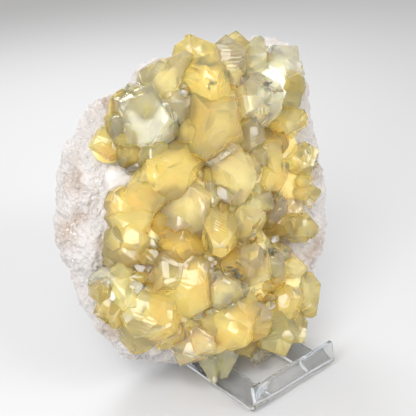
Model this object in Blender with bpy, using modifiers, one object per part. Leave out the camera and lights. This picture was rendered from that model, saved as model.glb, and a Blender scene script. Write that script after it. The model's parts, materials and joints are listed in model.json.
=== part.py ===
"""A calcite cluster on its heulandite matrix, leaning in a clear easel bent from one sheet.

The tables and named sizes are millimetres, and MM turns them into Blender's metres.
Everything is laid out in the stand's frame: x across, y back from the front of the lip, z up
from the surface the stand is on. At the end it moves so that the origin is the bottom centre
of the whole object's box.

The display side of a mineral specimen is the side it is mounted to be seen from, so the rock's
outline and each crystal's place are given on the display plane: millimetres across and up, as
seen from the viewpoint in front of it. A sight line through that point then finds the rock.
"""

import math

import bmesh
import bpy
import numpy as np
from mathutils import Matrix, Quaternion, Vector, noise

MM = 0.001
GAP = 0.3

# The viewpoint in front of the display side
VIEWPOINT = Vector((-254.1, -244.0, 283.4))
VIEW_AZIMUTH = -39.1
VIEW_ELEVATION = 26.1
VIEW_ROLL = 2.75
DISPLAY_DISTANCE = 458.0
DISPLAY_CENTRE = (-10.2, -1.1)

# The easel, bent from one clear sheet
SHEET = 2.5
STAND_WIDTH = 60.0
STAND_DEPTH = 94.0
RAIL_WIDTH = 16.0
REAR_BAR = 14.0
BEND_RADIUS = 4.5
LIP_TOP = 16.0
LIP_LEAN = 10.0
REST_LEAN = 18.0
REST_LENGTH = 66.0
KERF = 1.5
REST_ROOM = 2.0

# The plate of matrix: a point of its middle plane, the way its front faces, and its thickness
PLATE_POINT = Vector((-43.5, 63.1, 6.5))
PLATE_AZIMUTH = -17.0
PLATE_ELEVATION = 18.0
PLATE_THICKNESS = 38.0
PLATE_SQUARENESS = 3.4
OUTLINE_INSET = 2.0
MATRIX_LEVELS = 6
MATRIX_SHARE = 0.08

# The rock's outline on the display plane, clockwise from the notch under the upper left knob
OUTLINE = [
    (-33, 73), (-26, 85), (-19, 87), (-9, 88), (8, 93), (28, 97), (36, 101), (45, 99), (54, 96),
    (61, 84), (65, 66), (70, 48), (73, 30), (76, 12), (75, -3), (76, -14), (73, -28), (68, -40),
    (58, -56), (41, -70), (22, -79), (2, -85), (-12, -88), (-28, -87), (-40, -84), (-50, -73),
    (-61, -57), (-71, -37), (-78, -13), (-78, 4), (-75, 27), (-75, 36), (-66, 46), (-58, 61), (-46, 68),
]

# Lumps on the rock: across, up, radius and height
LUMPS = [
    (-43, 19, 15, 5.0), (-62, 8, 14, 3.0), (-58, -26, 12, 3.5), (-66, 30, 9, 2.5), (-48, 56, 10, 3.0),
    (-21, 76, 9, 4.0), (44, 88, 12, 5.0), (66, 40, 10, 3.0), (69, 4, 9, 3.0), (68, -22, 10, 3.5),
    (-48, -58, 10, 3.5), (-34, -76, 10, 4.0), (-22, -79, 8, 4.5), (-8, -82, 8, 3.5), (-62, -8, 8, -3.0),
]
FINE_RELIEF = 2.6
COARSE_RELIEF = 2.6

# Calcite forms: angle of the face normals from the crystal's long axis, faces in the ring, turn
FORMS = {
    "flat_rhomb": (27.0, 3, 0.0),
    "rhomb": (46.0, 3, 60.0),
    "dogtooth": (68.0, 6, 30.0),
    "prism": (88.0, 6, 0.0),
}
# The forms of each habit, and how far out each stands: the deeper it cuts, the larger its faces
HABITS = {
    "blocky": {"rhomb": 0.76, "prism": 0.84},
    "dogtooth": {"flat_rhomb": 0.94, "dogtooth": 0.76},
    "lens": {"flat_rhomb": 0.74, "dogtooth": 0.90},
    "round": {"flat_rhomb": 0.90, "rhomb": 0.98, "dogtooth": 0.88},
}
FACE_JITTER = 0.20
# How much a crystal has grown beyond its row's size: in the thick of the cluster, and at its rim
CRYSTAL_GROWTH = 1.42
RIM_GROWTH = 1.20

# Small crystals in the hollows that the named ones leave: how close together, and their sizes
FILLER_STEP = 12.0
FILLER_REACH = (74.0, 96.0)
FILLER_WIDTH = (9.0, 14.0)
FILLER_LENGTH = (14.0, 24.0)
FILLER_OUT = (5.0, 11.0)
FILLER_OVERLAP = 2.0
BARE_EDGE = 0.85

# Each crystal: name, across, up, how far its middle stands out of the plate, width, length,
# tilt of its long axis from the viewpoint, heading of its tip round the display plane, habit
CRYSTALS = [
    ("crown_lobe", 5, 84, 10, 20, 27, 62, 96, "round"),
    ("crown_lens", 8, 71, 16, 22, 26, 24, 80, "round"),
    ("shoulder_wedge", -14, 73, 9, 19, 36, 48, 42, "dogtooth"),
    ("under_wedge", -8, 59, 14, 14, 18, 20, 270, "lens"),
    ("clear_rhomb", -25, 50, 11, 25, 27, 28, 150, "blocky"),
    ("amber_upper", -38, 56, 5, 10, 19, 52, 104, "dogtooth"),
    ("amber_lower", -35, 47, 6, 10, 15, 40, 120, "dogtooth"),
    ("honey_left", -46, 37, 4, 16, 18, 38, 190, "blocky"),
    ("smoky_left", -33, 33, 8, 13, 16, 30, 215, "round"),
    ("glassy_chip", -31, 26, 7, 9, 12, 34, 240, "blocky"),
    ("round_amber", -11, 23, 14, 22, 28, 18, 250, "round"),
    ("honey_flat", -24, 11, 8, 20, 26, 34, 232, "lens"),
    ("tower", 22, 78, 10, 15, 32, 58, 92, "blocky"),
    ("tower_behind", 24, 85, 4, 16, 26, 68, 84, "blocky"),
    ("fan", 34, 81, 8, 14, 26, 55, 74, "dogtooth"),
    ("clear_corner", 50, 78, 6, 20, 26, 52, 50, "blocky"),
    ("amber_gap", 41, 78, 4, 10, 18, 50, 70, "dogtooth"),
    ("bright_clear", 38, 62, 15, 20, 22, 14, 10, "blocky"),
    ("honey_upper_right", 55, 64, 6, 13, 22, 44, 60, "round"),
    ("honey_mid_right", 55, 49, 7, 14, 22, 58, 8, "round"),
    ("great_rhomb", 12, 48, 19, 29, 34, 14, 130, "blocky"),
    ("behind_rhomb", 0, 54, 10, 16, 20, 24, 120, "dogtooth"),
    ("pale_blade", 34, 41, 16, 13, 28, 44, 95, "dogtooth"),
    ("long_diagonal", 44, 34, 11, 13, 38, 58, 292, "dogtooth"),
    ("small_amber", 50, 38, 9, 10, 16, 30, 300, "round"),
    ("honey_edge", 62, 29, 4, 16, 28, 54, 18, "blocky"),
    ("edge_wedge", 63, 11, 4, 15, 19, 58, 350, "dogtooth"),
    ("clear_centre", 22, 21, 17, 23, 28, 14, 270, "blocky"),
    ("small_rhomb", 37, 28, 15, 10, 14, 22, 40, "blocky"),
    ("yellow_triangle", 45, 20, 11, 16, 21, 30, 300, "dogtooth"),
    ("cleft_needle", 6, 16, 10, 8, 20, 34, 92, "dogtooth"),
    ("pale_lens", -2, 2, 16, 21, 20, 10, 200, "lens"),
    ("low_left", -33, -3, 6, 23, 22, 34, 190, "lens"),
    ("deep_amber", -17, -5, 8, 17, 22, 22, 200, "round"),
    ("grainy_lens", -34, -21, 8, 23, 22, 28, 200, "lens"),
    ("under_lens", -43, -28, 3, 10, 14, 40, 220, "round"),
    ("orange_block", -6, -21, 12, 20, 24, 18, 170, "round"),
    ("frosty_chip", -18, -25, 11, 9, 12, 30, 60, "blocky"),
    ("white_flash", -43, -42, 5, 17, 18, 26, 170, "blocky"),
    ("great_hex", -23, -58, 11, 31, 34, 24, 250, "blocky"),
    ("hex_side", -44, -55, 4, 15, 16, 36, 200, "blocky"),
    ("orange_round", -3, -41, 13, 27, 26, 14, 270, "round"),
    ("white_edge", -11, -35, 16, 10, 16, 24, 130, "blocky"),
    ("pink_chip", -5, -60, 9, 11, 16, 36, 250, "dogtooth"),
    ("striated_clear", 1, -74, 6, 17, 22, 44, 250, "blocky"),
    ("centre_column", 15, -10, 17, 19, 32, 30, 268, "dogtooth"),
    ("centre_right", 30, -6, 16, 17, 26, 24, 40, "dogtooth"),
    ("small_triangle", 40, 4, 14, 11, 16, 28, 80, "dogtooth"),
    ("amber_fill", 49, -8, 9, 15, 24, 34, 350, "dogtooth"),
    ("honey_kite", 61, -9, 4, 15, 26, 54, 2, "blocky"),
    ("clear_chip", 58, 1, 6, 10, 14, 44, 30, "blocky"),
    ("striped_blade", 34, -31, 17, 19, 30, 24, 82, "dogtooth"),
    ("dark_window", 25, -30, 14, 17, 24, 20, 200, "round"),
    ("pale_knob", 46, -32, 13, 11, 14, 28, 330, "round"),
    ("pale_button", 57, -32, 8, 13, 18, 44, 340, "round"),
    ("window_chip", 53, -24, 9, 8, 12, 40, 20, "blocky"),
    ("edge_olive", 65, -46, 3, 12, 29, 64, 282, "round"),
    ("yellow_step", 54, -52, 9, 15, 22, 40, 292, "blocky"),
    ("long_honey", 47, -65, 9, 20, 36, 48, 290, "blocky"),
    ("corner_hex", 57, -65, 3, 15, 24, 50, 312, "blocky"),
    ("white_triangles", 38, -59, 16, 11, 16, 26, 20, "dogtooth"),
    ("glowing_round", 24, -62, 14, 25, 28, 24, 268, "round"),
    ("orange_side", 31, -74, 7, 14, 18, 40, 290, "blocky"),
    ("bottom_clear", 38, -77, 4, 16, 18, 58, 280, "round"),
    ("tip_left", 12, -85, 3, 13, 26, 66, 278, "dogtooth"),
    ("tip_right", 20, -81, 5, 14, 26, 62, 262, "dogtooth"),
    ("striated_side", 7, -71, 10, 15, 20, 36, 240, "blocky"),
    ("milky_middle", 18, -45, 16, 17, 20, 18, 100, "round"),
    ("left_middle", -22, 35, 9, 15, 18, 26, 190, "round"),
    ("lower_middle", 8, -28, 11, 15, 20, 20, 300, "dogtooth"),
]

# The massive calcite that the crystals grow from: across, up, how far out, then three radii
BEDS = [
    (-30, 44, 0, 20, 17, 9), (-36, -48, 0, 18, 16, 9), (46, 74, 0, 17, 14, 9), (9, 61, 3, 34, 24, 14),
    (16, 14, 3, 46, 32, 17), (10, -36, 3, 48, 34, 17), (22, -66, 2, 32, 16, 14),
]


def display_axes():
    """The viewpoint's right, up and forward directions."""
    azimuth = math.radians(VIEW_AZIMUTH)
    elevation = math.radians(VIEW_ELEVATION)
    forward = Vector((
        -math.sin(azimuth) * math.cos(elevation),
        math.cos(azimuth) * math.cos(elevation),
        -math.sin(elevation),
    ))
    level_right = forward.cross(Vector((0, 0, 1))).normalized()
    level_up = level_right.cross(forward)
    roll = Quaternion(forward, math.radians(VIEW_ROLL))
    return roll @ level_right, roll @ level_up, forward


RIGHT, UP, FORWARD = display_axes()


def sight_line(across, up):
    """The direction from the viewpoint through a point of the display plane."""
    x = across + DISPLAY_CENTRE[0]
    y = up + DISPLAY_CENTRE[1]
    return RIGHT * x + UP * y + FORWARD * DISPLAY_DISTANCE


def plate_axes():
    """The plate's own across, up and outward directions."""
    azimuth = math.radians(PLATE_AZIMUTH)
    elevation = math.radians(PLATE_ELEVATION)
    out = Vector((
        math.sin(azimuth) * math.cos(elevation),
        -math.cos(azimuth) * math.cos(elevation),
        math.sin(elevation),
    ))
    across = Vector((0, 0, 1)).cross(out).normalized()
    return across, out.cross(across), out


PLATE_ACROSS, PLATE_UP, PLATE_OUT = plate_axes()
FRONT_LEVEL = PLATE_THICKNESS / 2


def on_plate(across, up, level):
    """The point that is seen at (across, up), level millimetres out from the plate's middle plane."""
    line = sight_line(across, up)
    reach = (PLATE_POINT - VIEWPOINT).dot(PLATE_OUT) + level
    return VIEWPOINT + line * (reach / line.dot(PLATE_OUT))


def plate_coordinates(point):
    """(across, up) of a point in the plate's own directions, from PLATE_POINT."""
    away = point - PLATE_POINT
    return away.dot(PLATE_ACROSS), away.dot(PLATE_UP)


def new_object(name, mesh, collection):
    made = bpy.data.objects.new(name, mesh)
    collection.objects.link(made)
    return made


def mesh_from(bm, name):
    mesh = bpy.data.meshes.new(name)
    bm.to_mesh(mesh)
    bm.free()
    return mesh


def evaluated_mesh(obj, name):
    """The object's mesh with its modifiers, in world space."""
    bpy.context.view_layer.update()
    graph = bpy.context.evaluated_depsgraph_get()
    mesh = bpy.data.meshes.new_from_object(obj.evaluated_get(graph))
    mesh.transform(obj.matrix_world)
    mesh.name = name
    return mesh


def material(name, colour, roughness, transmission=0.0):
    made = bpy.data.materials.new(name)
    made.use_nodes = True
    shader = made.node_tree.nodes["Principled BSDF"]
    shader.inputs["Base Color"].default_value = (*colour, 1)
    shader.inputs["Roughness"].default_value = roughness
    shader.inputs["Metallic"].default_value = 0.0
    shader.inputs["Transmission Weight"].default_value = transmission
    return made


def outline_radii():
    """The plate's middle and its outline round it, as angles and radii in the plate's directions."""
    rim = np.array([plate_coordinates(on_plate(*seen, 0.0)) for seen in OUTLINE])
    middle = (rim.max(axis=0) + rim.min(axis=0)) / 2
    away = rim - middle
    angles = np.arctan2(away[:, 1], away[:, 0])
    order = np.argsort(angles)
    return middle, angles[order], np.hypot(*away.T)[order] - OUTLINE_INSET


def plate_shape(direction, angles, radii):
    """The pillow's point in this direction: across, up and out, before its relief."""
    level_share = math.hypot(direction.x, direction.y)
    angle = math.atan2(direction.y, direction.x)
    radius = np.interp(angle, angles, radii, period=2 * math.pi)
    flatness = PLATE_SQUARENESS
    grown = (level_share**flatness + abs(direction.z) ** flatness) ** (-1 / flatness)
    flat = radius * level_share * grown
    return Vector((flat * math.cos(angle), flat * math.sin(angle), FRONT_LEVEL * direction.z * grown))


def lump_height(point):
    """How far the hand-placed lumps lift this point of the rock, which is in the stand's frame."""
    lifted = 0.0
    for across, up, radius, height in LUMPS:
        away = (point - on_plate(across, up, FRONT_LEVEL)).length
        lifted += height * math.exp(-((away / radius) ** 2))
    return lifted


def rock_relief(point):
    """Broken ground: broad swells, and knobs between sharp creases."""
    coarse = noise.fractal(point / 26, 0.8, 2.0, 3)
    knobs = noise.turbulence(point / 11, 3, True)
    return COARSE_RELIEF * coarse + FINE_RELIEF * (knobs - 0.6)


def matrix_mesh():
    """The heulandite plate: a sphere pulled out to the rock's outline and thickness, then broken up."""
    middle, angles, radii = outline_radii()
    bm = bmesh.new()
    bmesh.ops.create_icosphere(bm, subdivisions=MATRIX_LEVELS, radius=1)
    for vert in bm.verts:
        flat = plate_shape(vert.co.normalized(), angles, radii)
        vert.co = (
            PLATE_POINT
            + PLATE_ACROSS * (middle[0] + flat.x)
            + PLATE_UP * (middle[1] + flat.y)
            + PLATE_OUT * flat.z
        )
    bm.normal_update()
    moves = [v.normal * (rock_relief(v.co) + lump_height(v.co)) for v in bm.verts]
    for vert, move in zip(bm.verts, moves):
        vert.co += move
    bmesh.ops.scale(bm, vec=(MM, MM, MM), verts=bm.verts)
    return mesh_from(bm, "heulandite_matrix")


def face_planes(name, width, length, habit):
    """A calcite crystal's faces: each one's normal and distance from the crystal's middle, z its long axis."""
    rng = np.random.default_rng(sum(ord(letter) * (k + 1) for k, letter in enumerate(name)))
    for form, share in HABITS[habit].items():
        polar, count, turn = FORMS[form]
        for end in (0,) if form == "prism" else (0, 180):
            for k in range(count):
                around = math.radians(turn + end / 3 + 360 * k / count + rng.uniform(-4, 4))
                down = math.radians(abs(end - polar) + rng.uniform(-2, 2))
                sideways = math.sin(down)
                normal = Vector((sideways * math.cos(around), sideways * math.sin(around), math.cos(down)))
                reach = math.hypot(length / 2 * normal.z, width / 2 * sideways)
                yield normal, reach * share * (1 + rng.uniform(-FACE_JITTER, FACE_JITTER))


def crystal_mesh(name, width, length, habit):
    """One crystal: a block cut back along each of its faces."""
    bm = bmesh.new()
    bmesh.ops.create_cube(bm, size=2 * max(width, length))
    for normal, distance in face_planes(name, width, length, habit):
        cut = bmesh.ops.bisect_plane(
            bm,
            geom=bm.verts[:] + bm.edges[:] + bm.faces[:],
            plane_co=normal * distance,
            plane_no=normal,
            clear_outer=True,
        )
        edges = [e for e in cut["geom_cut"] if isinstance(e, bmesh.types.BMEdge)]
        if edges:
            bmesh.ops.contextual_create(bm, geom=edges)
    bmesh.ops.remove_doubles(bm, verts=bm.verts, dist=0.05)
    bmesh.ops.recalc_face_normals(bm, faces=bm.faces)
    return mesh_from(bm, name)


def over_a_bed(across, up):
    """Whether the massive calcite lies under this point of the display plane."""
    return any(((across - bed[0]) / bed[3]) ** 2 + ((up - bed[1]) / bed[4]) ** 2 < BARE_EDGE for bed in BEDS)


def filler_rows():
    """A small crystal at each spot of a loose grid that the named crystals leave bare."""
    rng = np.random.default_rng(7)
    for row_up in np.arange(-FILLER_REACH[1], FILLER_REACH[1], FILLER_STEP):
        for column in np.arange(-FILLER_REACH[0], FILLER_REACH[0], FILLER_STEP):
            across, up = np.array((column, row_up)) + rng.uniform(-2, 2, 2)
            width, length, out = (rng.uniform(*span) for span in (FILLER_WIDTH, FILLER_LENGTH, FILLER_OUT))
            tilt, heading = rng.uniform(10, 50), rng.uniform(0, 360)
            room = min(math.hypot(row[1] - across, row[2] - up) - row[4] / 2 for row in CRYSTALS)
            if room > -FILLER_OVERLAP and over_a_bed(across, up):
                yield f"filler_{across:.0f}_{up:.0f}", across, up, out, width, length, tilt, heading, "dogtooth"


def crystal_turn(tilt, heading, habit):
    """The turn that leans a crystal's long axis so, with a face of its habit's first form to the front."""
    lean = math.radians(tilt)
    bearing = math.radians(heading)
    axis = (RIGHT * math.cos(bearing) + UP * math.sin(bearing)) * math.sin(lean) - FORWARD * math.cos(lean)
    to_front = (-FORWARD - axis * axis.dot(-FORWARD)).normalized()
    level = Matrix((to_front, axis.cross(to_front), axis)).transposed()
    first_form = next(iter(HABITS[habit]))
    return level.to_4x4() @ Matrix.Rotation(-math.radians(FORMS[first_form][2]), 4, "Z")


def crystal_object(row, helpers):
    """A crystal at its place: its middle on the sight line, its long axis along its tilt and heading."""
    name, across, up, out, width, length, tilt, heading, habit = row
    growth = CRYSTAL_GROWTH if over_a_bed(across, up) else RIM_GROWTH
    mesh = crystal_mesh(name, width * growth, length * growth, habit)
    place = Matrix.Translation(on_plate(across, up, FRONT_LEVEL + out))
    mesh.transform(Matrix.Scale(MM, 4) @ place @ crystal_turn(tilt, heading, habit))
    return new_object("guide_" + name, mesh, helpers)


def bed_object(number, row, helpers):
    """A low swell of massive calcite under the crystals."""
    across, up, out, wide, high, thick = row
    bm = bmesh.new()
    bmesh.ops.create_icosphere(bm, subdivisions=2, radius=1)
    axes = Matrix((PLATE_ACROSS * wide, PLATE_UP * high, PLATE_OUT * thick)).transposed().to_4x4()
    place = Matrix.Translation(on_plate(across, up, FRONT_LEVEL + out))
    bm.transform(Matrix.Scale(MM, 4) @ place @ axes)
    return new_object(f"guide_bed_{number}", mesh_from(bm, f"bed_{number}"), helpers)


def hide(obj):
    obj.hide_render = True
    obj.display_type = "WIRE"


def add_boolean(obj, operation, other):
    modifier = obj.modifiers.new(operation.lower(), "BOOLEAN")
    modifier.operation = operation
    modifier.solver = "EXACT"
    modifier.object = other
    return modifier


def box_cutter(name, low, high, helpers):
    """A box between two corners."""
    bm = bmesh.new()
    bmesh.ops.create_cube(bm, size=1)
    size = Vector(high) - Vector(low)
    middle = (Vector(high) + Vector(low)) / 2
    bm.transform(Matrix.Scale(MM, 4) @ Matrix.Translation(middle) @ Matrix.Diagonal((*size, 1)))
    made = new_object(name, mesh_from(bm, name), helpers)
    hide(made)
    return made


def below_the_sheet(helpers):
    """Cuts what rests on the easel level with the top of its base."""
    return box_cutter("cutter_floor", (-150, -100, -60), (150, 200, SHEET + GAP), helpers)


def behind_the_rest(helpers):
    """Cuts what leans on the easel along the front of its back rest."""
    lean = math.radians(REST_LEAN)
    half = STAND_WIDTH / 2 - RAIL_WIDTH - KERF + REST_ROOM
    top = REST_LENGTH + BEND_RADIUS + REST_ROOM
    made = box_cutter("cutter_rest", (-half, 0, -60), (half, 60, top), helpers)
    foot = Vector((0, rest_front_at_base() - GAP, SHEET))
    made.data.transform(Matrix.Translation(foot * MM) @ Matrix.Rotation(-lean, 4, "X"))
    return made


def keep_largest_piece(mesh):
    """Removes the splinters that a cut leaves beside the main body."""
    bm = bmesh.new()
    bm.from_mesh(mesh)
    left = set(bm.verts)
    groups = []
    while left:
        todo = [left.pop()]
        group = []
        while todo:
            vert = todo.pop()
            group.append(vert)
            for edge in vert.link_edges:
                other = edge.other_vert(vert)
                if other in left:
                    left.remove(other)
                    todo.append(other)
        groups.append(group)
    groups.sort(key=len)
    for group in groups[:-1]:
        bmesh.ops.delete(bm, geom=group, context="VERTS")
    bm.to_mesh(mesh)
    bm.free()


def make_matrix(nodes, helpers):
    """The rock, with a bearing face where it sits on the easel and where it leans on it."""
    rough = new_object("guide_matrix", matrix_mesh(), helpers)
    hide(rough)
    fewer = rough.modifiers.new("fewer_faces", "DECIMATE")
    fewer.ratio = MATRIX_SHARE
    add_boolean(rough, "DIFFERENCE", below_the_sheet(helpers))
    add_boolean(rough, "DIFFERENCE", behind_the_rest(helpers))
    mesh = evaluated_mesh(rough, "heulandite_matrix")
    keep_largest_piece(mesh)
    made = new_object("heulandite_matrix", mesh, nodes)
    mesh.materials.clear()
    mesh.materials.append(material("heulandite", (0.86, 0.82, 0.79), 0.85))
    return made


def grown_copy(obj, amount, helpers):
    """The same shape, a little larger all over."""
    mesh = obj.data.copy()
    bm = bmesh.new()
    bm.from_mesh(mesh)
    bm.normal_update()
    moves = [v.normal * (amount * MM) * v.calc_shell_factor() for v in bm.verts]
    for vert, move in zip(bm.verts, moves):
        vert.co += move
    bm.to_mesh(mesh)
    bm.free()
    made = new_object("cutter_matrix", mesh, helpers)
    hide(made)
    return made


def make_calcite(matrix, nodes, helpers):
    """All the crystals grown into one body, which stops at the rock's surface."""
    crystals = bpy.data.collections.new("grown_together")
    helpers.children.link(crystals)
    for number, row in enumerate(BEDS):
        hide(bed_object(number, row, crystals))
    for row in [*CRYSTALS, *filler_rows()]:
        hide(crystal_object(row, crystals))
    seed = new_object("guide_calcite", crystals.objects[0].data.copy(), helpers)
    hide(seed)
    union = add_boolean(seed, "UNION", None)
    union.operand_type = "COLLECTION"
    union.collection = crystals
    add_boolean(seed, "DIFFERENCE", grown_copy(matrix, GAP, helpers))
    add_boolean(seed, "DIFFERENCE", bpy.data.objects["cutter_floor"])
    mesh = evaluated_mesh(seed, "calcite_crystals")
    keep_largest_piece(mesh)
    made = new_object("calcite_crystals", mesh, nodes)
    mesh.materials.clear()
    mesh.materials.append(material("golden_calcite", (0.86, 0.70, 0.34), 0.12, 0.85))
    return made


def arc(centre, radius, turn_to, steps):
    """(y, z) points of a bend that starts forwards along the base and turns up, by turn_to degrees."""
    points = []
    for k in range(1, steps + 1):
        angle = math.radians(turn_to * k / steps)
        points.append((centre[0] - radius * math.sin(angle), centre[1] + radius * (1 - math.cos(angle))))
    return points


def bent_end(start, turn_to, rise):
    """(y, z) points of the sheet's middle from start, round its bend and straight on for rise millimetres."""
    points = arc(start, BEND_RADIUS, turn_to, 7)
    last = Vector(points[-1])
    angle = math.radians(turn_to)
    points.append(tuple(last + Vector((-math.cos(angle), math.sin(angle))) * rise))
    return points


def rest_root():
    return STAND_DEPTH - REAR_BAR


def rest_front_at_base():
    """Where the back rest's front face, run straight down, meets the top of the base."""
    turn = math.radians(90 + REST_LEAN)
    y = rest_root() - BEND_RADIUS * math.sin(turn)
    z = SHEET / 2 + BEND_RADIUS * (1 - math.cos(turn))
    lean = math.radians(REST_LEAN)
    return y - (z - SHEET) * math.tan(lean) - SHEET / 2 / math.cos(lean)


def make_stand(nodes):
    """The easel: rails and rear bar flat, the lip and the back rest bent up from them."""
    half = STAND_WIDTH / 2
    inner = half - RAIL_WIDTH
    middle = SHEET / 2
    lip_turn = 90 + LIP_LEAN
    fold_y = BEND_RADIUS + middle
    fold_top = middle + BEND_RADIUS * (1 - math.cos(math.radians(lip_turn)))
    lip_straight = (LIP_TOP - fold_top) / math.cos(math.radians(LIP_LEAN))
    lip = bent_end((fold_y, middle), lip_turn, lip_straight)
    rest = bent_end((rest_root(), middle), 90 + REST_LEAN, REST_LENGTH)
    frame_line = [(STAND_DEPTH, middle), (rest_root(), middle), (fold_y, middle), *lip]
    columns = [-half, -inner, -(inner - KERF), inner - KERF, inner, half]

    bm = bmesh.new()

    def row_of(y, z, stations):
        return {x: bm.verts.new((x * MM, y * MM, z * MM)) for x in stations}

    rows = [row_of(y, z, columns) for y, z in frame_line]
    for step, (near, far) in enumerate(zip(rows, rows[1:])):
        for left, right in zip(columns, columns[1:]):
            in_opening = step == 1 and -inner <= left and right <= inner
            if not in_opening:
                bm.faces.new((near[left], near[right], far[right], far[left]))
    tongue = columns[2:4]
    upright = [rows[1]] + [row_of(y, z, tongue) for y, z in rest]
    for near, far in zip(upright, upright[1:]):
        bm.faces.new((near[tongue[0]], near[tongue[1]], far[tongue[1]], far[tongue[0]]))
    bmesh.ops.recalc_face_normals(bm, faces=bm.faces)
    if sum(face.normal.z for face in bm.faces) < 0:
        bmesh.ops.reverse_faces(bm, faces=bm.faces)
    made = new_object("acrylic_stand", mesh_from(bm, "acrylic_stand"), nodes)
    thick = made.modifiers.new("sheet", "SOLIDIFY")
    thick.thickness = SHEET * MM
    thick.offset = 0
    thick.use_even_offset = True
    made.data.materials.append(material("clear_acrylic", (0.93, 0.95, 0.97), 0.03, 1.0))
    return made


def move_to_origin(objects):
    """Puts the bottom centre of the object's box at the origin."""
    bpy.context.view_layer.update()
    graph = bpy.context.evaluated_depsgraph_get()
    corners = []
    for obj in objects:
        shown = obj.evaluated_get(graph)
        corners += [shown.matrix_world @ Vector(corner) for corner in shown.bound_box]
    low = Vector([min(c[k] for c in corners) for k in range(3)])
    high = Vector([max(c[k] for c in corners) for k in range(3)])
    shift = Vector((-(low.x + high.x) / 2, -(low.y + high.y) / 2, -low.z))
    for obj in objects:
        obj.location += shift


def main():
    for obj in list(bpy.data.objects):
        bpy.data.objects.remove(obj)
    nodes = bpy.data.collections.new("calcite_on_heulandite")
    helpers = bpy.data.collections.new("cutters_and_guides")
    for collection in (nodes, helpers):
        bpy.context.scene.collection.children.link(collection)
    matrix = make_matrix(nodes, helpers)
    calcite = make_calcite(matrix, nodes, helpers)
    stand = make_stand(nodes)
    move_to_origin([matrix, calcite, stand])


main()
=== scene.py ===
import json
import math

import bmesh
import bpy
import numpy as np
from mathutils import Matrix, Quaternion, Vector, noise

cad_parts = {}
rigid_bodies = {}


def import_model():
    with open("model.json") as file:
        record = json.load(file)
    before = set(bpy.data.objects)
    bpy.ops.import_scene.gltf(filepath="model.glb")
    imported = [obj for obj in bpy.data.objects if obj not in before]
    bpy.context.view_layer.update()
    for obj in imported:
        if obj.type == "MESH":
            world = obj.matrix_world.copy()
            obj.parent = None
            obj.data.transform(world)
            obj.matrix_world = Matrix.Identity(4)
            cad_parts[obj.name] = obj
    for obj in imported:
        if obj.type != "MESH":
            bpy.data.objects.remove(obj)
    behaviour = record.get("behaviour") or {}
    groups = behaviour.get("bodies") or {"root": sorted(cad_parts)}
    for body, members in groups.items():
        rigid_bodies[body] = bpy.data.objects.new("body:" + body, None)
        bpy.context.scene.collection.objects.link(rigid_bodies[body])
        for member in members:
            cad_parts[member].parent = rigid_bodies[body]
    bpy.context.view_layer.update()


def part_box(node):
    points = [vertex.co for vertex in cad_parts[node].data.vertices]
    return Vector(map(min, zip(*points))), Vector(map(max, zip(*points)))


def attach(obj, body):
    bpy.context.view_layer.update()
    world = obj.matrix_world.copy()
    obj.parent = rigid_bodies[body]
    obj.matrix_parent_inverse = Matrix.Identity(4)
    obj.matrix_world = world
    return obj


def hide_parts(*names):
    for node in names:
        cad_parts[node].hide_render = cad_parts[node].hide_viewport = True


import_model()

# The tables are millimetres in the easel's own frame: x across, y back from the front of the lip,
# z up from the floor. MM and EASEL_ORIGIN bring them into the row's frame, in metres.
MM = 0.001
STAND_LOW, STAND_HIGH = (Vector(corner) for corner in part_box("acrylic_stand"))
EASEL_ORIGIN = Vector(((STAND_LOW.x + STAND_HIGH.x) / 2, STAND_LOW.y, STAND_LOW.z))


def in_row_frame(point):
    return EASEL_ORIGIN + Vector(point) * MM


# The viewpoint in front of the display side, which is the photograph's
VIEWPOINT = Vector((-254.1, -244.0, 283.4))
VIEW_AZIMUTH = -39.1
VIEW_ELEVATION = 26.1
VIEW_ROLL = 2.75
DISPLAY_DISTANCE = 458.0
DISPLAY_CENTRE = (-10.2, -1.1)
SENSOR = 36.0
LENS = 70.1

# The easel, bent from one clear sheet
SHEET = 2.5
STAND_WIDTH = 60.0
STAND_DEPTH = 94.0
RAIL_WIDTH = 16.0
REAR_BAR = 14.0
BEND_RADIUS = 4.5
LIP_TOP = 16.0
LIP_LEAN = 10.0
REST_LEAN = 18.0
REST_LENGTH = 66.0
KERF = 1.5
BEND_STEPS = 12
SHEET_EDGE = 0.3

# The studio in the row's frame, in metres: where the lights point, the floor and the even surround
LIGHT_TARGET = Vector((0.0, 0.0, 0.09))
FLOOR_SIZE = 4
FLOOR_COLOUR = (0.51, 0.515, 0.53)
SURROUND_COLOUR = (1.0, 0.98, 0.945)
SURROUND_STRENGTH = 0.74
# The soft boxes: place, two sides in metres, and power in watts
KEY_PLACE = Vector((-0.55, -0.35, 0.75))
SOFT_BOXES = {
    "key": (KEY_PLACE, (0.50, 0.50), 6.5),
    "fill": ((0.30, -0.75, 0.50), (0.25, 0.50), 3.0),
    "rim": ((0.25, 0.60, 0.55), (0.40, 0.30), 3.0),
    "left_sparkle": ((-0.75, -0.20, 0.30), (0.15, 0.15), 1.2),
    "right_sparkle": ((0.10, -0.70, 0.75), (0.15, 0.15), 1.2),
}

# How far a face leans from the glare before it stops mirroring the key light
GLARE_REACH = math.radians(13)
# The crystals with a face that flashes, and how far out it stands: the lower, the larger it is.
# All the chips along the crystals' edges have one.
BRIGHT_FACES = {
    "chip": 0.42,
    "white_flash": 0.48,
    "white_triangles": 0.50,
    "white_edge": 0.50,
    "bright_band": 0.40,
    "bright_notch": 0.48,
    "bright_patch": 0.50,
    "white_strip": 0.45,
    "clear_rhomb": 0.86,
    "bright_clear": 0.86,
    "glassy_chip": 0.6,
    "clear_chip": 0.65,
    "striated_clear": 0.80,
    "pink_chip": 0.7,
}

# The plate of matrix
PLATE_POINT = Vector((-43.5, 63.1, 6.5))
PLATE_AZIMUTH = -17.0
PLATE_ELEVATION = 18.0
PLATE_THICKNESS = 38.0
PLATE_SQUARENESS = 3.4
OUTLINE_INSET = 2.0
MATRIX_LEVELS = 8
MATRIX_SHARE = 0.5
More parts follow.
